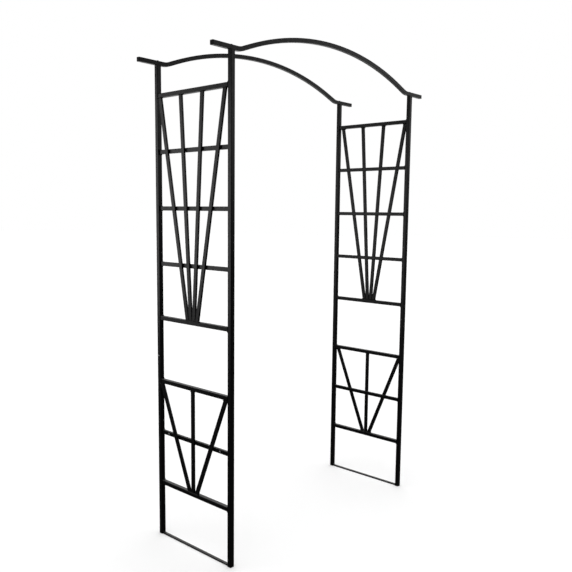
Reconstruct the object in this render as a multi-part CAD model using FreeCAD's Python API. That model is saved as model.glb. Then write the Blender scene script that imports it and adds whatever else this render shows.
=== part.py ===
import FreeCAD, Part
import math
import os

# Metal trellis arch: two ladder panels of square tube, each in a lower and an upper section, carry a front
# and a rear arch rail. Millimetres. X runs across the passage, Y through it from front to rear, +Z up.
# The origin is on the ground, in the middle of the passage. The panels mirror each other in X and in Y.

# ---- overall sizes ----
post_spacing_x = 1200.0       # between post centres, across the passage
post_spacing_y = 462.0        # between post centres, front to rear
post_height = 2058.0          # ground to the top of a post
splice_height = 850.0         # ground to the joint between lower and upper post

# ---- tubes and bars ----
post_size = 20.0
post_wall = 1.5
rung_size = 18.0              # frame rungs: square tube
rung_wall = 1.2
middle_rung_depth = 12.0      # middle rungs: as high as the frame rungs, but set back behind the fan bars
rail_size = 18.0
rail_wall = 1.5
tube_corner = 1.6             # outer corner radius of every tube
inner_tube_corner = 0.3       # smallest corner radius inside a tube
fan_bar_width = 20.0          # fan bars: flat tube
fan_bar_thickness = 8.0
fan_bar_wall = 1.2
fan_bar_proud = 1.5           # how far the fan bars stand out past the posts' outer faces
ground_bar_width = 12.0       # solid flat bar
ground_bar_thickness = 6.0

# ---- places of the rungs, up or down to a rung's centre ----
lower_bottom_rung_rise = 244.0    # up from the ground
lower_top_rung_drop = 142.0       # down from the splice
upper_bottom_rung_rise = 139.0    # up from the splice
top_rung_drop = 126.0             # down from the top of the post
upper_middle_rungs = 3
top_bay_shortfall = 5.0           # the topmost bay is this much lower than the bays under it

# ---- fans of bars ----
upper_fan_bars = 4
upper_fan_post_gap = 6.5      # outermost bar to post, at the top
lower_fan_bars = 3
lower_fan_post_gap = 0.5
fan_foot_gap = 0.5            # between the bars where they gather on the bottom rung

# ---- arch rails ----
tail_length = 94.0            # straight tail, measured outwards from the post centre
bend_inset = 42.0             # from the post centre inwards to the corner that the upward bend rounds off
bend_radius = 80.0            # of the centre line
rise_length = 55.0            # from that corner up the straight rise to the start of the long arc
crown_rise = 118.0            # rise of the rail's centre line at the crown

# ---- sleeves, plugs and caps ----
insert_gap = 0.2              # clearance on each side of whatever sits inside a tube
sleeve_length = 140.0
sleeve_wall = 1.5
plug_length = 30.0
cap_plate = 3.0               # thickness of a rail cap's visible plate
cap_tongue = 22.0             # how far a rail cap reaches into the tube

# ---- screws ----
screw_radius = 2.5
screw_hole_gap = 0.3          # clearance around a shank in a drilled wall
thread_gap = 0.05             # clearance around a shank in its thread
head_radius = 4.75
head_height = 3.0
head_rounding = 1.4
hex_key_size = 3.0            # across flats
hex_key_depth = 1.6
splice_screw_drop = 30.0      # from the splice down to the screw
splice_screw_length = 9.0
rung_screw_length = 8.0
rung_screw_inset = 51.0       # from the post's inner face, along the rung
arch_screw_reach = 22.0       # how far an arch screw goes into the plug of the post
hole_overshoot = 1.0          # how far a hole's cutter runs past the material at both ends

SIDES = {"left": -1, "right": 1}
ENDS = {"front": -1, "rear": 1}

# ---- derived places, measured from the middle of the panel or from the ground ----
panel_x = post_spacing_x / 2
post_y = post_spacing_y / 2
rung_half_length = post_y - post_size / 2
post_face = post_size / 2
fan_back_face = post_face + fan_bar_proud - fan_bar_thickness
insert_size = post_size - 2 * post_wall - 2 * insert_gap
lower_bottom_rung_height = lower_bottom_rung_rise
lower_top_rung_height = splice_height - lower_top_rung_drop
lower_middle_rung_height = (lower_bottom_rung_height + lower_top_rung_height) / 2
upper_bottom_rung_height = splice_height + upper_bottom_rung_rise
top_rung_height = post_height - top_rung_drop
upper_span = top_rung_height - upper_bottom_rung_height
upper_rung_pitch = (upper_span + top_bay_shortfall) / (upper_middle_rungs + 1)
rung_screw_y = rung_half_length - rung_screw_inset
splice_screw_height = splice_height - splice_screw_drop
rail_level = post_height + rail_size / 2      # of the centre line of the rails' tails
rail_top = post_height + rail_size


def vector(x, y, z):
    return FreeCAD.Vector(x, y, z)


def save(node, shape):
    shape.exportStep("parts/" + node + ".step")


def box(low, high):
    """Block between two opposite corners."""
    size = high - low
    return Part.makeBox(size.x, size.y, size.z, low)


def rounded_rectangle(width, depth, radius):
    """Wire in the XY plane, centred on the origin."""
    half_w = width / 2
    half_d = depth / 2
    turn = radius * (1 - math.sqrt(0.5))
    edges = []
    for sx, sy in ((1, 1), (-1, 1), (-1, -1), (1, -1)):
        on_side = vector(sx * half_w, sy * (half_d - radius), 0)
        middle = vector(sx * (half_w - turn), sy * (half_d - turn), 0)
        on_top = vector(sx * (half_w - radius), sy * half_d, 0)
        ends = (on_side, on_top) if sx == sy else (on_top, on_side)
        if edges:
            edges.append(Part.LineSegment(edges[-1].EndPoint, ends[0]))
        edges.append(Part.Arc(ends[0], middle, ends[1]))
    edges.append(Part.LineSegment(edges[-1].EndPoint, edges[0].StartPoint))
    return Part.Wire([edge.toShape() for edge in edges])


def tube_section(width, depth, wall):
    """Face of a hollow rectangular tube, in the XY plane."""
    outer = Part.Face(rounded_rectangle(width, depth, tube_corner))
    inner_corner = max(tube_corner - wall, inner_tube_corner)
    inner = Part.Face(rounded_rectangle(width - 2 * wall, depth - 2 * wall, inner_corner))
    return outer.cut(inner)


def upright_tube(size, wall, x, y, low, high):
    tube = tube_section(size, size, wall).extrude(vector(0, 0, high - low))
    tube.translate(vector(x, y, low))
    return tube


def screw_hole(point, axis, depth, gap):
    """Cutter for a hole from point on a surface along axis, through material as deep as depth."""
    start = point - axis * hole_overshoot
    return Part.makeCylinder(screw_radius + gap, depth + 2 * hole_overshoot, start, axis)


def screw(point, axis, length):
    """Button head screw: the head's underside is at point, and the shank runs along axis for length."""
    shank = Part.makeCylinder(screw_radius, length, point, axis)
    head = Part.makeCylinder(head_radius, head_height, point, -axis)
    crown = head.Edges[0]
    for edge in head.Edges:
        if len(edge.Vertexes) == 1 and edge.CenterOfMass.dot(axis) < crown.CenterOfMass.dot(axis):
            crown = edge
    head = head.makeFillet(head_rounding, [crown])
    across_corners = hex_key_size / math.sqrt(3)
    corners = [vector(across_corners * math.cos(math.radians(60 * i)),
                      across_corners * math.sin(math.radians(60 * i)), 0) for i in range(7)]
    socket = Part.Face(Part.makePolygon(corners)).extrude(vector(0, 0, hex_key_depth))
    socket.Placement = FreeCAD.Placement(point - axis * head_height, FreeCAD.Rotation(vector(0, 0, 1), axis))
    return shank.fuse(head).cut(socket)


# ---- posts and what sits inside them ----

def lower_post(side, end):
    x = side * panel_x
    y = end * post_y
    post = upright_tube(post_size, post_wall, x, y, 0, splice_height)
    outside = vector(x + side * post_face, y, splice_screw_height)
    return post.cut(screw_hole(outside, vector(-side, 0, 0), post_wall, screw_hole_gap))


def upper_post(side, end):
    return upright_tube(post_size, post_wall, side * panel_x, end * post_y, splice_height, post_height)


def splice_sleeve(side, end):
    """Square sleeve inside both posts, across the splice, threaded for the splice screw."""
    x = side * panel_x
    y = end * post_y
    low = splice_height - sleeve_length / 2
    high = splice_height + sleeve_length / 2
    sleeve = upright_tube(insert_size, sleeve_wall, x, y, low, high)
    outside = vector(x + side * post_face, y, splice_screw_height)
    depth = post_wall + insert_gap + sleeve_wall
    return sleeve.cut(screw_hole(outside, vector(-side, 0, 0), depth, thread_gap))


def plug_block(side, end, low):
    x = side * panel_x
    y = end * post_y
    half = insert_size / 2
    return box(vector(x - half, y - half, low), vector(x + half, y + half, low + plug_length))


def top_plug(side, end):
    """Block in the top of the post, threaded for the screw that holds the arch rail down."""
    top = vector(side * panel_x, end * post_y, post_height)
    thread = screw_hole(top, vector(0, 0, -1), arch_screw_reach, thread_gap)
    return plug_block(side, end, post_height - plug_length).cut(thread)


def foot_plug(side, end):
    return plug_block(side, end, 0)


# ---- rungs and the ground bar ----

def rung_tube(side, depth, height, offset):
    """Tube from post to post. offset is how far its centre stands out from the middle of the posts."""
    tube = tube_section(depth, rung_size, rung_wall).extrude(vector(0, 0, 2 * rung_half_length))
    tube.rotate(vector(0, 0, 0), vector(1, 0, 0), -90)
    tube.translate(vector(side * (panel_x + offset), -rung_half_length, height))
    return tube


def frame_rung(side, height):
    return rung_tube(side, rung_size, height, 0)


def middle_rung(side, height):
    """Its outer face is where the fan bars' backs are."""
    return rung_tube(side, middle_rung_depth, height, fan_back_face - middle_rung_depth / 2)


def lower_middle_rung(side):
    rung = middle_rung(side, lower_middle_rung_height)
    for end in ENDS.values():
        outside = vector(side * (panel_x + fan_back_face), end * rung_screw_y, lower_middle_rung_height)
        rung = rung.cut(screw_hole(outside, vector(-side, 0, 0), rung_wall, thread_gap))
    return rung


def ground_bar(side):
    half = ground_bar_width / 2
    low = vector(side * panel_x - half, -rung_half_length, 0)
    high = vector(side * panel_x + half, rung_half_length, ground_bar_thickness)
    return box(low, high)


# ---- fans ----

def fan_bar(side, foot, top, low, high):
    """Flat tube in the panel's plane from y = foot to y = top, with both ends cut level."""
    lean = math.atan((top - foot) / (high - low))
    spare = fan_bar_width
    length = (high - low) / math.cos(lean) + 2 * spare
    bar = tube_section(fan_bar_thickness, fan_bar_width, fan_bar_wall).extrude(vector(0, 0, length))
    bar.translate(vector(0, 0, -spare))
    bar.rotate(vector(0, 0, 0), vector(1, 0, 0), -math.degrees(lean))
    bar.translate(vector(side * (panel_x + fan_back_face + fan_bar_thickness / 2), foot, low))
    level_cut = box(vector(-post_spacing_x, -post_spacing_y, low), vector(post_spacing_x, post_spacing_y, high))
    return bar.common(level_cut)


def fan_bars(side, count, bottom_rung_height, upper_rung_height, post_gap):
    """Bars that gather side by side on the bottom rung and spread out to the rung above."""
    low = bottom_rung_height + rung_size / 2
    high = upper_rung_height - rung_size / 2
    steepest = math.atan(rung_half_length / (high - low))
    cut_width = fan_bar_width / math.cos(steepest)
    foot_pitch = cut_width + fan_foot_gap
    top_pitch = 2 * (rung_half_length - post_gap - cut_width / 2) / (count - 1)
    places = [index - (count - 1) / 2 for index in range(count)]
    return [fan_bar(side, place * foot_pitch, place * top_pitch, low, high) for place in places]


# ---- arch rails ----

def rail_path(end):
    """Centre line: tail, bend, straight rise, long arc over the crown, straight fall, bend, tail."""
    y = end * post_y
    corner_x = panel_x - bend_inset
    angle = 2 * math.atan(crown_rise / (corner_x + rise_length))
    bend_x = corner_x + bend_radius * math.tan(angle / 2)
    arc_x = corner_x - rise_length * math.cos(angle)
    arc_level = rail_level + rise_length * math.sin(angle)
    crown = vector(0, y, rail_level + crown_rise)

    def tail_end(side):
        return vector(side * (panel_x + tail_length), y, rail_level)

    def on_bend(side, turn):
        x = bend_x - bend_radius * math.sin(turn)
        return vector(side * x, y, rail_level + bend_radius * (1 - math.cos(turn)))

    def arc_end(side):
        return vector(side * arc_x, y, arc_level)

    return Part.Wire([
        Part.LineSegment(tail_end(-1), on_bend(-1, 0)).toShape(),
        Part.Arc(on_bend(-1, 0), on_bend(-1, angle / 2), on_bend(-1, angle)).toShape(),
        Part.LineSegment(on_bend(-1, angle), arc_end(-1)).toShape(),
        Part.Arc(arc_end(-1), crown, arc_end(1)).toShape(),
        Part.LineSegment(arc_end(1), on_bend(1, angle)).toShape(),
        Part.Arc(on_bend(1, angle), on_bend(1, angle / 2), on_bend(1, 0)).toShape(),
        Part.LineSegment(on_bend(1, 0), tail_end(1)).toShape(),
    ])


def sweep_along_rail(end, size, radius):
    section = rounded_rectangle(size, size, radius)
    start = vector(-(panel_x + tail_length), end * post_y, rail_level)
    section.Placement = FreeCAD.Placement(start, FreeCAD.Rotation(vector(0, 1, 0), 90))
    return rail_path(end).makePipeShell([section], True, False)


def arch_rail(end):
    rail = sweep_along_rail(end, rail_size, tube_corner)
    rail = rail.cut(sweep_along_rail(end, rail_size - 2 * rail_wall, inner_tube_corner))
    for side in SIDES.values():
        top = vector(side * panel_x, end * post_y, rail_top)
        rail = rail.cut(screw_hole(top, vector(0, 0, -1), rail_size, screw_hole_gap))
    return rail


def rail_end_cap(side, end):
    """Plastic cap: a plate as large as the tube, and a tongue inside it."""
    tube_end = side * (panel_x + tail_length)
    y = end * post_y
    plate = Part.Face(rounded_rectangle(rail_size, rail_size, tube_corner)).extrude(vector(0, 0, cap_plate))
    outward = FreeCAD.Rotation(vector(0, 1, 0), 90 * side)
    plate.Placement = FreeCAD.Placement(vector(tube_end, y, rail_level), outward)
    half = rail_size / 2 - rail_wall - insert_gap
    inner_end = tube_end - side * cap_tongue
    tongue = box(vector(min(tube_end, inner_end), y - half, rail_level - half),
                 vector(max(tube_end, inner_end), y + half, rail_level + half))
    return plate.fuse(tongue)


# ---- fasteners ----

def panel_screws():
    """Identical screws in the outer faces: one at each splice, two in each lower middle rung."""
    screws = []
    for side in SIDES.values():
        inward = vector(-side, 0, 0)
        for end in ENDS.values():
            splice = vector(side * (panel_x + post_face), end * post_y, splice_screw_height)
            rung = vector(side * (panel_x + fan_back_face), end * rung_screw_y, lower_middle_rung_height)
            screws.append(screw(splice, inward, splice_screw_length))
            screws.append(screw(rung, inward, rung_screw_length))
    return Part.makeCompound(screws)


def arch_screws():
    """Long screws from the top of each rail, through it, into the plug of the post."""
    screws = []
    for side in SIDES.values():
        for end in ENDS.values():
            top = vector(side * panel_x, end * post_y, rail_top)
            screws.append(screw(top, vector(0, 0, -1), rail_size + arch_screw_reach))
    return Part.makeCompound(screws)


# ---- the whole arch ----

def build_corner(side_name, end_name):
    side = SIDES[side_name]
    end = ENDS[end_name]
    corner = side_name + "_" + end_name + "_"
    save(corner + "lower_post", lower_post(side, end))
    save(corner + "upper_post", upper_post(side, end))
    save(corner + "splice_sleeve", splice_sleeve(side, end))
    save(corner + "top_plug", top_plug(side, end))
    save(corner + "foot_plug", foot_plug(side, end))
    save(corner + "rail_end_cap", rail_end_cap(side, end))


def build_panel(side_name):
    side = SIDES[side_name]
    save(side_name + "_top_rung", frame_rung(side, top_rung_height))
    save(side_name + "_upper_bottom_rung", frame_rung(side, upper_bottom_rung_height))
    save(side_name + "_lower_top_rung", frame_rung(side, lower_top_rung_height))
    save(side_name + "_lower_bottom_rung", frame_rung(side, lower_bottom_rung_height))
    save(side_name + "_lower_middle_rung", lower_middle_rung(side))
    for number in range(1, upper_middle_rungs + 1):
        height = upper_bottom_rung_height + number * upper_rung_pitch
        save(f"{side_name}_upper_middle_rung_{number}", middle_rung(side, height))
    save(side_name + "_ground_bar", ground_bar(side))

    upper = fan_bars(side, upper_fan_bars, upper_bottom_rung_height, top_rung_height, upper_fan_post_gap)
    lower = fan_bars(side, lower_fan_bars, lower_bottom_rung_height, lower_top_rung_height, lower_fan_post_gap)
    for number, bar in enumerate(upper, 1):
        save(f"{side_name}_upper_fan_bar_{number}", bar)
    for number, bar in enumerate(lower, 1):
        save(f"{side_name}_lower_fan_bar_{number}", bar)


def main():
    os.makedirs("parts", exist_ok=True)
    for side_name in SIDES:
        build_panel(side_name)
        for end_name in ENDS:
            build_corner(side_name, end_name)
    for end_name, end in ENDS.items():
        save(end_name + "_arch_rail", arch_rail(end))
    save("panel_screws", panel_screws())
    save("arch_screws", arch_screws())


main()
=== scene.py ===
import bmesh
import bpy
import math
import random
from mathutils import Matrix, Vector


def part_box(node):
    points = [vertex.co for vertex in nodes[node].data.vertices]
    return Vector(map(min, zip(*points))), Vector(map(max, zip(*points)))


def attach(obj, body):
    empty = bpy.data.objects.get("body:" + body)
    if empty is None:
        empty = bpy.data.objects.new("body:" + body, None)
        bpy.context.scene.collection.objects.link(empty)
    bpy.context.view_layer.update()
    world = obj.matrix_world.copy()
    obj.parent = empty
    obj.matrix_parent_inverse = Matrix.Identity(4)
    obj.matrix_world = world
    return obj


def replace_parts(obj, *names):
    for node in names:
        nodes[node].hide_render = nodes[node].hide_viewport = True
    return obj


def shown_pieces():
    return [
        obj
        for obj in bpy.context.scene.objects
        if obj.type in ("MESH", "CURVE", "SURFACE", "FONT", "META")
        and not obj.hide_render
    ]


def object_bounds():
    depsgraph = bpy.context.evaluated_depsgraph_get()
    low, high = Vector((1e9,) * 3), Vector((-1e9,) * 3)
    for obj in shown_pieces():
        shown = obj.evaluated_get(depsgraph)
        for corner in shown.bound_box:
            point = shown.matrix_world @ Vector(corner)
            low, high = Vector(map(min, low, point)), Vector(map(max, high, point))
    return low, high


# Metal trellis arch in black powder-coated tube: two side panels, each a lower and an upper welded section,
# and two arched rails screwed down on their posts. Metres, +Z up, left panel at -X, front at -Y.
# The CAD nodes keep their shapes and get their finishes here. Weld beads are added, and detailed screws
# replace the CAD ones.

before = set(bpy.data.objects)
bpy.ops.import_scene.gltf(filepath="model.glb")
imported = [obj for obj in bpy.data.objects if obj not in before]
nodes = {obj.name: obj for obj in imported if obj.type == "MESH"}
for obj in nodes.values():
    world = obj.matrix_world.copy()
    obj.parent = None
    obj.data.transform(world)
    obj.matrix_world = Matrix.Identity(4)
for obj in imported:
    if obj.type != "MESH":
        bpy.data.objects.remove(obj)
cad_low, cad_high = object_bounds()

MM = 0.001
SIDES = ("left", "right")
X_AXIS = Vector((1, 0, 0))
Y_AXIS = Vector((0, 1, 0))
Z_AXIS = Vector((0, 0, 1))
draw = random.Random(29)


# ---- node tree helpers ----

def node_adder(tree):
    def add(kind, inputs=(), **settings):
        """Adds a node. inputs maps socket names or numbers to values or to other nodes' output sockets."""
        made = tree.nodes.new(kind)
        for key, value in settings.items():
            setattr(made, key, value)
        for key, value in dict(inputs).items():
            if isinstance(value, bpy.types.NodeSocket):
                tree.links.new(value, made.inputs[key])
            else:
                made.inputs[key].default_value = value
        return made
    return add


def new_material(name):
    """An empty node material: (material, a function that adds a node to it)."""
    material = bpy.data.materials.new(name)
    material.use_nodes = True
    tree = material.node_tree
    tree.nodes.clear()
    return material, node_adder(tree)


def grey(level):
    return (level, level, level, 1.0)


def noise(add, place, scale, detail, roughness=0.55):
    """Fractal noise about 0.5. scale is in patches per metre."""
    inputs = {"Vector": place, "Scale": scale, "Detail": detail, "Roughness": roughness}
    return add("ShaderNodeTexNoise", inputs).outputs["Fac"]


def cells(add, place, scale):
    """Small pits with ridges between them. scale is in pits per metre."""
    return add("ShaderNodeTexVoronoi", {"Vector": place, "Scale": scale}).outputs["Distance"]


def spread(add, value, low, high, to_low=0.0, to_high=1.0):
    """Maps low..high to to_low..to_high, and clamps."""
    inputs = {"Value": value, "From Min": low, "From Max": high, "To Min": to_low, "To Max": to_high}
    return add("ShaderNodeMapRange", inputs).outputs["Result"]


def calculate(add, operation, a, b):
    return add("ShaderNodeMath", {0: a, 1: b}, operation=operation).outputs["Value"]


def dot(add, a, b):
    return add("ShaderNodeVectorMath", {0: a, 1: b}, operation="DOT_PRODUCT").outputs["Value"]


def blend_colours(add, factor, a, b):
    """a where factor is 0 and b where it is 1."""
    made = add("ShaderNodeMix", data_type="RGBA")
    colours = [socket for socket in made.inputs if socket.type == "RGBA"]
    tree = made.id_data
    for socket, value in ((made.inputs["Factor"], factor), (colours[0], a), (colours[1], b)):
        if isinstance(value, bpy.types.NodeSocket):
            tree.links.new(value, socket)
        else:
            socket.default_value = value
    return [socket for socket in made.outputs if socket.type == "RGBA"][0]


def bumps(add, height, distance, strength, under=None):
    """A normal with bumps of that height in metres, on top of the bumps in under."""
    inputs = {"Height": height, "Distance": distance, "Strength": strength}
    if under is not None:
        inputs["Normal"] = under
    return add("ShaderNodeBump", inputs).outputs["Normal"]


def edge_mask(add, radius):
    """Near 1 on the edges, 0 on the flats. radius is how far from an edge it begins."""
    rounded = add("ShaderNodeBevel", {"Radius": radius}, samples=4).outputs["Normal"]
    true_normal = add("ShaderNodeNewGeometry").outputs["Normal"]
    return spread(add, dot(add, rounded, true_normal), low=0.995, high=0.9)


def upward_mask(add):
    """1 on surfaces that face up, where dust lies and where a painted sheen of light from above is laid."""
    normal = add("ShaderNodeNewGeometry").outputs["Normal"]
    up = add("ShaderNodeSeparateXYZ", {"Vector": normal}).outputs["Z"]
    return spread(add, up, low=0.55, high=0.95)


# ---- finishes ----

COAT_DEEP = (0.0020, 0.0019, 0.0023, 1.0)
COAT_THIN = (0.0060, 0.0056, 0.0066, 1.0)
COAT_MARKED = (0.022, 0.021, 0.023, 1.0)
COAT_RUBBED = (0.09, 0.087, 0.092, 1.0)
# Dust, lighter than dust alone: on the top faces it is also a painted sheen of light from above and behind.
DUST_AND_SHEEN = (0.32, 0.31, 0.3, 1.0)
STREAK_SCALE = (160.0, 160.0, 5.0)       # run-off streaks per metre: thin across, long up and down
COAT_EDGE = 1.6 * MM
COAT_PEEL_HEIGHT = 0.06 * MM
COAT_GRAIN_HEIGHT = 0.03 * MM
COAT_GLOSS = 0.35

PLASTIC_DEEP = (0.003, 0.003, 0.0035, 1.0)
PLASTIC_SCUFFED = (0.009, 0.009, 0.01, 1.0)
PLASTIC_RUBBED = grey(0.03)
PLASTIC_EDGE = 1.2 * MM
PLASTIC_GRAIN_HEIGHT = 0.06 * MM
PLASTIC_CELL_HEIGHT = 0.04 * MM
PLASTIC_GLOSS = 0.25

BRIGHT_ZINC = (0.88, 0.89, 0.91, 1.0)
BRIGHT_ZINC_MILKY = (0.66, 0.66, 0.68, 1.0)
DULL_ZINC = (0.45, 0.46, 0.48, 1.0)
DULL_ZINC_MILKY = (0.3, 0.3, 0.32, 1.0)
ZINC_GRAIN_HEIGHT = 0.03 * MM


def powder_coat(name):
    """Black satin powder coat with orange peel, fine speckle, uneven tone, run-off streaks, dust on the top
    faces that is lighter than dust alone, as a painted sheen of light on them, and edges rubbed lighter."""
    material, add = new_material(name)
    place = add("ShaderNodeTexCoord").outputs["Object"]
    broad = noise(add, place, scale=5.0, detail=3.0)
    patchy = noise(add, place, scale=70.0, detail=6.0, roughness=0.6)
    speckle = noise(add, place, scale=1400.0, detail=3.0, roughness=0.7)
    peel = noise(add, place, scale=650.0, detail=2.0, roughness=0.45)
    grain = cells(add, place, scale=1100.0)

    tone = spread(add, calculate(add, "ADD", broad, patchy), low=0.7, high=1.3)
    coat = blend_colours(add, tone, COAT_DEEP, COAT_THIN)

    streaks_place = add("ShaderNodeMapping", {"Vector": place, "Scale": STREAK_SCALE}).outputs["Vector"]
    streaks = noise(add, streaks_place, scale=1.0, detail=3.0)
    streaks = spread(add, streaks, low=0.55, high=0.8, to_high=0.5)
    specks = spread(add, speckle, low=0.62, high=0.8)
    marks = calculate(add, "MAXIMUM", streaks, specks)
    coat = blend_colours(add, calculate(add, "MULTIPLY", marks, 0.5), coat, COAT_MARKED)

    rub = spread(add, patchy, low=0.42, high=0.72, to_low=0.05, to_high=0.6)
    wear = calculate(add, "MULTIPLY", edge_mask(add, COAT_EDGE), rub)
    coat = blend_colours(add, wear, coat, COAT_RUBBED)

    # Dust on the faces that look up: partly real dust, partly a painted sheen standing in for light on the
    # top faces.
    dust_and_sheen_amount = spread(add, patchy, low=0.35, high=0.7, to_low=0.12, to_high=0.4)
    dust_and_sheen = calculate(add, "MULTIPLY", upward_mask(add), dust_and_sheen_amount)
    coat = blend_colours(add, dust_and_sheen, coat, DUST_AND_SHEEN)

    rough = spread(add, patchy, low=0.3, high=0.7, to_low=0.3, to_high=0.44)
    rough = calculate(add, "ADD", rough, calculate(add, "MULTIPLY", dust_and_sheen, 0.4))
    normal = bumps(add, peel, COAT_PEEL_HEIGHT, strength=0.6)
    normal = bumps(add, grain, COAT_GRAIN_HEIGHT, strength=0.4, under=normal)
    shader = add("ShaderNodeBsdfPrincipled", {
        "Base Color": coat,
        "Roughness": rough,
        "Normal": normal,
        "Specular IOR Level": COAT_GLOSS,
    })
    add("ShaderNodeOutputMaterial", {"Surface": shader.outputs["BSDF"]})
    return material


def moulded_plastic(name):
    """Black plastic with a fine spark-eroded grain and a few scuffs."""
    material, add = new_material(name)
    place = add("ShaderNodeTexCoord").outputs["Object"]
    grain = noise(add, place, scale=2200.0, detail=2.0, roughness=0.6)
    pits = cells(add, place, scale=1600.0)
    scuffs = noise(add, place, scale=260.0, detail=6.0, roughness=0.7)
    colour = blend_colours(add, spread(add, scuffs, low=0.45, high=0.75), PLASTIC_DEEP, PLASTIC_SCUFFED)
    rub = spread(add, scuffs, low=0.45, high=0.7, to_high=0.6)
    wear = calculate(add, "MULTIPLY", edge_mask(add, PLASTIC_EDGE), rub)
    colour = blend_colours(add, wear, colour, PLASTIC_RUBBED)
    normal = bumps(add, grain, PLASTIC_GRAIN_HEIGHT, strength=0.5)
    normal = bumps(add, pits, PLASTIC_CELL_HEIGHT, strength=0.4, under=normal)
    shader = add("ShaderNodeBsdfPrincipled", {
        "Base Color": colour,
        "Roughness": spread(add, scuffs, low=0.3, high=0.7, to_low=0.42, to_high=0.62),
        "Normal": normal,
        "Specular IOR Level": PLASTIC_GLOSS,
    })
    add("ShaderNodeOutputMaterial", {"Surface": shader.outputs["BSDF"]})
    return material


def zinc_plate(name, clear, milky):
    """Zinc plate with a fine grain and milky patches, which are duller and rougher."""
    material, add = new_material(name)
    place = add("ShaderNodeTexCoord").outputs["Object"]
    patches = noise(add, place, scale=420.0, detail=5.0, roughness=0.65)
    grain = noise(add, place, scale=3000.0, detail=2.0)
    shader = add("ShaderNodeBsdfPrincipled", {
        "Base Color": blend_colours(add, spread(add, patches, low=0.35, high=0.7), clear, milky),
        "Metallic": 1.0,
        "Roughness": spread(add, patches, low=0.3, high=0.7, to_low=0.4, to_high=0.55),
        "Normal": bumps(add, grain, ZINC_GRAIN_HEIGHT, strength=0.4),
    })
    add("ShaderNodeOutputMaterial", {"Surface": shader.outputs["BSDF"]})
    return material


coated = powder_coat("powder_coated_steel")
plastic = moulded_plastic("black_plastic")
bright_zinc = zinc_plate("bright_zinc", BRIGHT_ZINC, BRIGHT_ZINC_MILKY)
dull_zinc = zinc_plate("dull_zinc", DULL_ZINC, DULL_ZINC_MILKY)


def finish_of(node):
    if node.endswith(("rail_end_cap", "top_plug", "foot_plug")):
        return plastic
    if node.endswith("splice_sleeve"):
        return dull_zinc
    if node.endswith("screws"):
        return bright_zinc
    return coated


for node_name, cad_object in nodes.items():
    cad_object.data.materials.clear()
    cad_object.data.materials.append(finish_of(node_name))


# ---- new pieces ----

def add_piece(name, build, material):
    """Makes a piece from bmesh geometry that build() fills in, and lets it ride on the arch."""
    mesh = bpy.data.meshes.new(name)
    geometry = bmesh.new()
    build(geometry)
    bmesh.ops.recalc_face_normals(geometry, faces=geometry.faces)
    geometry.to_mesh(mesh)
    geometry.free()
    for polygon in mesh.polygons:
        polygon.use_smooth = True
    mesh.materials.append(material)
    piece = bpy.data.objects.new(name, mesh)
    bpy.context.scene.collection.objects.link(piece)
    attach(piece, "root")
    return piece


def join_rings(geometry, rings, closed):
    """Faces between neighbouring rings of vertices. A closed run also joins its last ring to its first, and
    an open one gets a face at each end."""
    following = rings[1:] + rings[:1] if closed else rings[1:]
    for here, there in zip(rings, following):
        for corner in range(len(here)):
            after = (corner + 1) % len(here)
            geometry.faces.new((here[corner], here[after], there[after], there[corner]))
    if not closed:
        geometry.faces.new(list(reversed(rings[0])))
        geometry.faces.new(rings[-1])


# ---- weld beads ----

BEAD_LEG = 2.6 * MM              # along each of the two faces that the bead joins
BEAD_STEP = 0.9 * MM             # from one cross-section to the next
BEAD_FEWEST_STEPS = 3            # between two corners
BEAD_RIPPLE = 0.1                # share of the leg
BEAD_RIPPLE_TURN = 1.9           # radians from one cross-section to the next
BEAD_UNEVENNESS = 0.06           # share of the leg
BEAD_END = 0.45                  # share of the leg that is left at the two ends of an open bead
CROSSING_INSET = 1.5 * MM        # from the rung's edges to a crossing bead's ends
GROUND_CLEARANCE = 0.4 * MM      # under the lowest ends of the ground bar's beads
LEVEL_TOLERANCE = 0.05 * MM      # a vertex this near to a height lies at it

# Cross-section of a bead in legs, (outward, along). It sinks a little into both faces.
BEAD_PROFILE = ((-0.15, -0.15), (1.0, -0.15), (0.93, 0.2), (0.62, 0.62), (0.2, 0.93), (-0.15, 1.0))


def bead_sections(corners, outwards, closed):
    """(place, direction away from the bar) of each cross-section of a bead. At a corner the directions of its
    two runs add up, which gives the diagonal between them."""
    sections = []
    for run, outward in enumerate(outwards):
        start = corners[run]
        finish = corners[(run + 1) % len(corners)]
        steps = max(BEAD_FEWEST_STEPS, round((finish - start).length / BEAD_STEP))
        at_corner = closed or run > 0
        sections.append((start, outwards[run - 1] + outward if at_corner else outward))
        sections += [(start.lerp(finish, step / steps), outward) for step in range(1, steps)]
    if not closed:
        sections.append((finish, outward))
    return sections


def bead(geometry, corners, outwards, along, closed):
    """A rippled fillet along a run of corners. outwards has one direction per run between two corners. along
    is the direction in which the bead climbs, away from the face that it stands on."""
    sections = bead_sections(corners, outwards, closed)
    ends = () if closed else (0, len(sections) - 1)
    phase = draw.uniform(0, math.tau)
    rings = []
    for index, (centre, outward) in enumerate(sections):
        ripple = BEAD_RIPPLE * math.sin(phase + index * BEAD_RIPPLE_TURN)
        leg = BEAD_LEG * (1 + ripple + draw.uniform(-BEAD_UNEVENNESS, BEAD_UNEVENNESS))
        if index in ends:
            leg *= BEAD_END
        ring = [centre + outward * (leg * away) + along * (leg * up) for away, up in BEAD_PROFILE]
        rings.append([geometry.verts.new(point) for point in ring])
    join_rings(geometry, rings, closed)


def end_welds(rung):
    """Beads round both ends of a rung, where it meets the posts."""
    low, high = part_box(rung)

    def build(geometry):
        for y, along in ((low.y, Y_AXIS), (high.y, -Y_AXIS)):
            corners = [Vector((low.x, y, low.z)), Vector((high.x, y, low.z)),
                       Vector((high.x, y, high.z)), Vector((low.x, y, high.z))]
            bead(geometry, corners, [-Z_AXIS, X_AXIS, Z_AXIS, -X_AXIS], along, closed=True)
    add_piece(rung + "_end_welds", build, coated)


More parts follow.
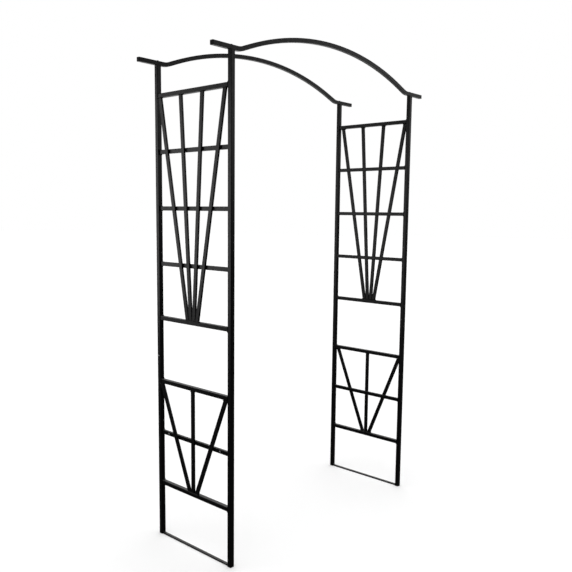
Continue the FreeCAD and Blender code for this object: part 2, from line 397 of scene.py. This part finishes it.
def ground_bar_welds(bar):
    """Beads over the top and sides of the bar's ends. The underside stays flat on the ground."""
    low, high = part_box(bar)
    bottom = low.z + GROUND_CLEARANCE

    def build(geometry):
        for y, along in ((low.y, Y_AXIS), (high.y, -Y_AXIS)):
            corners = [Vector((low.x, y, bottom)), Vector((low.x, y, high.z)),
                       Vector((high.x, y, high.z)), Vector((high.x, y, bottom))]
            bead(geometry, corners, [-X_AXIS, Z_AXIS, X_AXIS], along, closed=False)
    add_piece(bar + "_end_welds", build, coated)


def end_outline(bar, level):
    """Lowest and highest x and y of a fan bar's end that lies at that height."""
    points = [vertex.co for vertex in nodes[bar].data.vertices if abs(vertex.co.z - level) < LEVEL_TOLERANCE]
    low = Vector((min(p.x for p in points), min(p.y for p in points), level))
    high = Vector((max(p.x for p in points), max(p.y for p in points), level))
    return low, high


def fan_bar_ends(bar):
    """Outlines of a fan bar's foot and top, on the rungs that it stands between."""
    low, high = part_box(bar)
    return end_outline(bar, low.z), end_outline(bar, high.z)


def fan_bar_welds(bar):
    """Beads round the foot and the top of a fan bar."""
    foot, top = fan_bar_ends(bar)
    axis = ((top[0] + top[1]) - (foot[0] + foot[1])).normalized()

    def build(geometry):
        for (low, high), along in ((foot, axis), (top, -axis)):
            corners = [Vector((low.x, low.y, low.z)), Vector((high.x, low.y, low.z)),
                       Vector((high.x, high.y, low.z)), Vector((low.x, high.y, low.z))]
            bead(geometry, corners, [-Y_AXIS, X_AXIS, Y_AXIS, -X_AXIS], along, closed=True)
    add_piece(bar + "_end_welds", build, coated)


def crossing_welds(rung, bars):
    """Beads on the rung's outer face, up both edges of every fan bar that crosses it."""
    low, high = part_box(rung)
    side = 1 if low.x > 0 else -1
    face = high.x if side > 0 else low.x

    def build(geometry):
        for bar in bars:
            foot, top = fan_bar_ends(bar)
            for edge, away in ((0, -Y_AXIS), (1, Y_AXIS)):
                slope = (top[edge].y - foot[edge].y) / (top[edge].z - foot[edge].z)
                corners = []
                for z in (low.z + CROSSING_INSET, high.z - CROSSING_INSET):
                    y = foot[edge].y + slope * (z - foot[edge].z)
                    corners.append(Vector((face, y, z)))
                bead(geometry, corners, [away], side * X_AXIS, closed=False)
    add_piece(rung + "_crossing_welds", build, coated)


def weld_panel(side):
    """Every bead of one side panel."""
    upper_bars = [f"{side}_upper_fan_bar_{number}" for number in (1, 2, 3, 4)]
    lower_bars = [f"{side}_lower_fan_bar_{number}" for number in (1, 2, 3)]
    upper_middle_rungs = [f"{side}_upper_middle_rung_{number}" for number in (1, 2, 3)]
    lower_middle_rung = side + "_lower_middle_rung"
    frame_rungs = [side + "_top_rung", side + "_upper_bottom_rung",
                   side + "_lower_top_rung", side + "_lower_bottom_rung"]
    for rung in frame_rungs + upper_middle_rungs + [lower_middle_rung]:
        end_welds(rung)
    for bar in upper_bars + lower_bars:
        fan_bar_welds(bar)
    for rung in upper_middle_rungs:
        crossing_welds(rung, upper_bars)
    crossing_welds(lower_middle_rung, lower_bars)
    ground_bar_welds(side + "_ground_bar")


for side_name in SIDES:
    weld_panel(side_name)


# ---- screws ----

SCREW_SIDES = 48
SCREW_SPACING = 25 * MM              # any two screws are further apart than this
SHANK_SHOWN = 2.0 * MM
SHANK_WIDTH = 0.5                    # this and the next two are shares of the head's radius
SEAT_WIDTH = 0.94
DOME_TOP_WIDTH = 0.42
HEAD_HEIGHT = 3.0 * MM
RIM_HEIGHT = 0.12                    # share of the head's height
DOME_TURN = math.radians(72)
DOME_STEPS = 6
SOCKET_HALF_WIDTH = 1.5 * MM
SOCKET_DEPTH = 1.6 * MM
SOCKET_CHAMFER = 0.15 * MM
SOCKET_MOUTH = 1.07                  # the chamfer's share of the socket's width
DRILL_POINT_DEPTH = 0.4 * MM
DRILL_POINT_RADIUS = 0.3 * MM


def socket_radius(angle):
    """Distance from the axis to the hexagon's side at that angle."""
    sixth = math.tau / 6
    from_flat = (angle + sixth / 2) % sixth - sixth / 2
    return SOCKET_HALF_WIDTH / math.cos(from_flat)


def button_head(geometry, seat, outward, radius):
    """Domed screw head on its seat, with a hexagon socket and the start of the shank under it."""
    across = outward.orthogonal().normalized()
    beside = outward.cross(across)
    rings = []

    def ring(height, radius_at):
        """Adds a ring of vertices at that height over the seat, with radius_at(angle) from the axis."""
        made = []
        for turn in range(SCREW_SIDES):
            angle = math.tau * turn / SCREW_SIDES
            spoke = math.cos(angle) * across + math.sin(angle) * beside
            made.append(geometry.verts.new(seat + outward * height + spoke * radius_at(angle)))
        rings.append(made)

    def circle(height, wide):
        ring(height, lambda angle: wide)

    circle(-SHANK_SHOWN, SHANK_WIDTH * radius)
    circle(0.0, SHANK_WIDTH * radius)
    circle(0.0, SEAT_WIDTH * radius)
    circle(RIM_HEIGHT * HEAD_HEIGHT, radius)
    for step in range(1, DOME_STEPS + 1):
        turn = step / DOME_STEPS * DOME_TURN
        wide = DOME_TOP_WIDTH + (1 - DOME_TOP_WIDTH) * math.cos(turn)
        high = RIM_HEIGHT + (1 - RIM_HEIGHT) * math.sin(turn) / math.sin(DOME_TURN)
        circle(high * HEAD_HEIGHT, wide * radius)
    ring(HEAD_HEIGHT, lambda angle: SOCKET_MOUTH * socket_radius(angle))
    ring(HEAD_HEIGHT - SOCKET_CHAMFER, socket_radius)
    ring(HEAD_HEIGHT - SOCKET_DEPTH, socket_radius)
    circle(HEAD_HEIGHT - SOCKET_DEPTH - DRILL_POINT_DEPTH, DRILL_POINT_RADIUS)
    join_rings(geometry, rings, closed=False)


def screw_boxes(node):
    """Lowest and highest corner of each screw in a node that holds several."""
    groups = []
    for vertex in nodes[node].data.vertices:
        near = [group for group in groups if (group[0].xy - vertex.co.xy).length < SCREW_SPACING]
        if near:
            near[0].append(vertex.co.copy())
        else:
            groups.append([vertex.co.copy()])
    corners = []
    for group in groups:
        low = Vector([min(point[axis] for point in group) for axis in range(3)])
        high = Vector([max(point[axis] for point in group) for axis in range(3)])
        corners.append((low, high))
    return sorted(corners, key=lambda pair: tuple(round(value, 3) for value in pair[0]))


def side_screw(number, low, high):
    """Screw in the outer face of a panel. The one in the front left splice is coated over with the post."""
    side = 1 if low.x > 0 else -1
    head_top = high.x if side > 0 else low.x
    middle = (low + high) / 2
    seat = Vector((head_top - side * HEAD_HEIGHT, middle.y, middle.z))
    coated_over = side < 0 and middle.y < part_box("left_lower_middle_rung")[0].y
    finish = coated if coated_over else bright_zinc

    def build(geometry):
        button_head(geometry, seat, side * X_AXIS, (high.z - low.z) / 2)
    return add_piece(f"panel_screw_{number}", build, finish)


def top_screw(number, low, high):
    """Screw down through a rail into its post. All of them are coated over."""
    middle = (low + high) / 2
    seat = Vector((middle.x, middle.y, high.z - HEAD_HEIGHT))

    def build(geometry):
        button_head(geometry, seat, Z_AXIS, (high.x - low.x) / 2)
    return add_piece(f"arch_screw_{number}", build, coated)


for screw_number, (screw_low, screw_high) in enumerate(screw_boxes("panel_screws"), 1):
    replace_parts(side_screw(screw_number, screw_low, screw_high), "panel_screws")
for screw_number, (screw_low, screw_high) in enumerate(screw_boxes("arch_screws"), 1):
    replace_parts(top_screw(screw_number, screw_low, screw_high), "arch_screws")


# ---- floor, light and camera ----

FLOOR_GAP = 0.2 * MM                 # under the feet, so that the floor doesn't cut into them
FLOOR_RADIUS = 60.0
FLOOR_SIDES = 96
FLOOR_TONE = 0.86
FLOOR_SUN_STRENGTH = 3.42
FLOOR_SUN_ANGLE = math.radians(120)
ROOM_LEVEL = 0.045
BACKDROP_LEVEL = 1.0
BACKDROP_DIRECTION = (0.76, 0.65, 0.0)
SENSOR_WIDTH = 36.0                  # mm
FAR_CLIP = 200.0


def make_floor():
    """Pale matt floor, which neither lights the arch nor mirrors in it."""
    mesh = bpy.data.meshes.new("floor")
    geometry = bmesh.new()
    bmesh.ops.create_circle(geometry, cap_ends=True, segments=FLOOR_SIDES, radius=FLOOR_RADIUS)
    geometry.to_mesh(mesh)
    geometry.free()
    material, add = new_material("pale_floor")
    shader = add("ShaderNodeBsdfPrincipled", {
        "Base Color": grey(FLOOR_TONE),
        "Roughness": 0.9,
        "Specular IOR Level": 0.0,
    })
    add("ShaderNodeOutputMaterial", {"Surface": shader.outputs["BSDF"]})
    mesh.materials.append(material)
    floor = bpy.data.objects.new("floor", mesh)
    floor.location.z = cad_low.z - FLOOR_GAP
    floor.visible_diffuse = False
    floor.visible_glossy = False
    bpy.context.scene.collection.objects.link(floor)
    return floor


def light_receivers(name, objects):
    """A collection that a light can be told to fall on, and on nothing else."""
    collection = bpy.data.collections.new(name)
    for member in objects:
        collection.objects.link(member)
    return collection


def add_light(lamp, receivers):
    light = bpy.data.objects.new(lamp.name, lamp)
    bpy.context.scene.collection.objects.link(light)
    light.light_linking.receiver_collection = receivers
    return light


def soft_box(name, place, aim, size, power, receivers):
    """A rectangular soft light at place that points at aim. The camera doesn't see it."""
    lamp = bpy.data.lights.new(name, "AREA")
    lamp.shape = "RECTANGLE"
    lamp.size, lamp.size_y = size
    lamp.energy = power
    light = add_light(lamp, receivers)
    light.location = place
    light.rotation_euler = (Vector(aim) - Vector(place)).to_track_quat("-Z", "Y").to_euler()
    light.visible_camera = False


def floor_sun(receivers):
    """A very soft light from straight above that keeps the floor evenly pale."""
    lamp = bpy.data.lights.new("floor_sun", "SUN")
    lamp.energy = FLOOR_SUN_STRENGTH
    lamp.angle = FLOOR_SUN_ANGLE
    add_light(lamp, receivers)


def make_world():
    """White all round to look at. The arch is lit by a dim room with a white backdrop on one side."""
    world = bpy.data.worlds.new("studio")
    world.use_nodes = True
    tree = world.node_tree
    tree.nodes.clear()
    add = node_adder(tree)
    direction = add("ShaderNodeTexCoord").outputs["Generated"]
    towards = dot(add, direction, BACKDROP_DIRECTION)
    level = spread(add, towards, low=0.45, high=0.8, to_low=ROOM_LEVEL, to_high=BACKDROP_LEVEL)
    room = add("ShaderNodeBackground", {"Color": grey(1.0), "Strength": level})
    white = add("ShaderNodeBackground", {"Color": grey(1.0), "Strength": 1.0})
    seen = add("ShaderNodeLightPath").outputs["Is Camera Ray"]
    mixed = add("ShaderNodeMixShader", {0: seen, 1: room.outputs[0], 2: white.outputs[0]})
    add("ShaderNodeOutputWorld", {"Surface": mixed.outputs[0]})
    bpy.context.scene.world = world


def make_camera(place, heading, tilt, roll, lens, shift):
    """heading is measured from +Y towards +X, tilt above the horizon. Angles in degrees."""
    data = bpy.data.cameras.new("camera")
    data.sensor_width = SENSOR_WIDTH
    data.lens = lens
    data.shift_x, data.shift_y = shift
    data.clip_end = FAR_CLIP
    heading, tilt, roll = (math.radians(angle) for angle in (heading, tilt, roll))
    forward = Vector((math.sin(heading) * math.cos(tilt), math.cos(heading) * math.cos(tilt), math.sin(tilt)))
    level_right = Vector((math.cos(heading), -math.sin(heading), 0.0))
    level_up = level_right.cross(forward)
    right = math.cos(roll) * level_right + math.sin(roll) * level_up
    up = math.cos(roll) * level_up - math.sin(roll) * level_right
    turn = Matrix((right, up, -forward)).transposed().to_4x4()
    camera = bpy.data.objects.new("camera", data)
    camera.matrix_world = Matrix.Translation(place) @ turn
    bpy.context.scene.collection.objects.link(camera)
    bpy.context.scene.camera = camera


arch_only = light_receivers("arch_only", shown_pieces())
floor_only = light_receivers("floor_only", [make_floor()])
floor_sun(floor_only)
make_world()
# The key stands at the left rear, so that each fan bar throws its shadow on the rungs, on its front side.
soft_box("key", place=(-1.9, 1.75, 1.55), aim=(-0.3, 0.0, 1.55),
         size=(1.6, 1.6), power=11, receivers=arch_only)
soft_box("front", place=(2.3, -2.5, 2.6), aim=(0.0, -0.2, 1.9),
         size=(3.2, 1.4), power=13, receivers=arch_only)
soft_box("back", place=(2.2, 1.4, 3.2), aim=(0.3, 0.0, 1.2),
         size=(1.6, 1.6), power=12, receivers=arch_only)
make_camera(place=(-2.4138, -2.2725, 1.4287), heading=49.527, tilt=-6.854, roll=1.035,
            lens=43.55, shift=(-0.0708, 0.0291))
bpy.context.scene.view_settings.view_transform = "Standard"
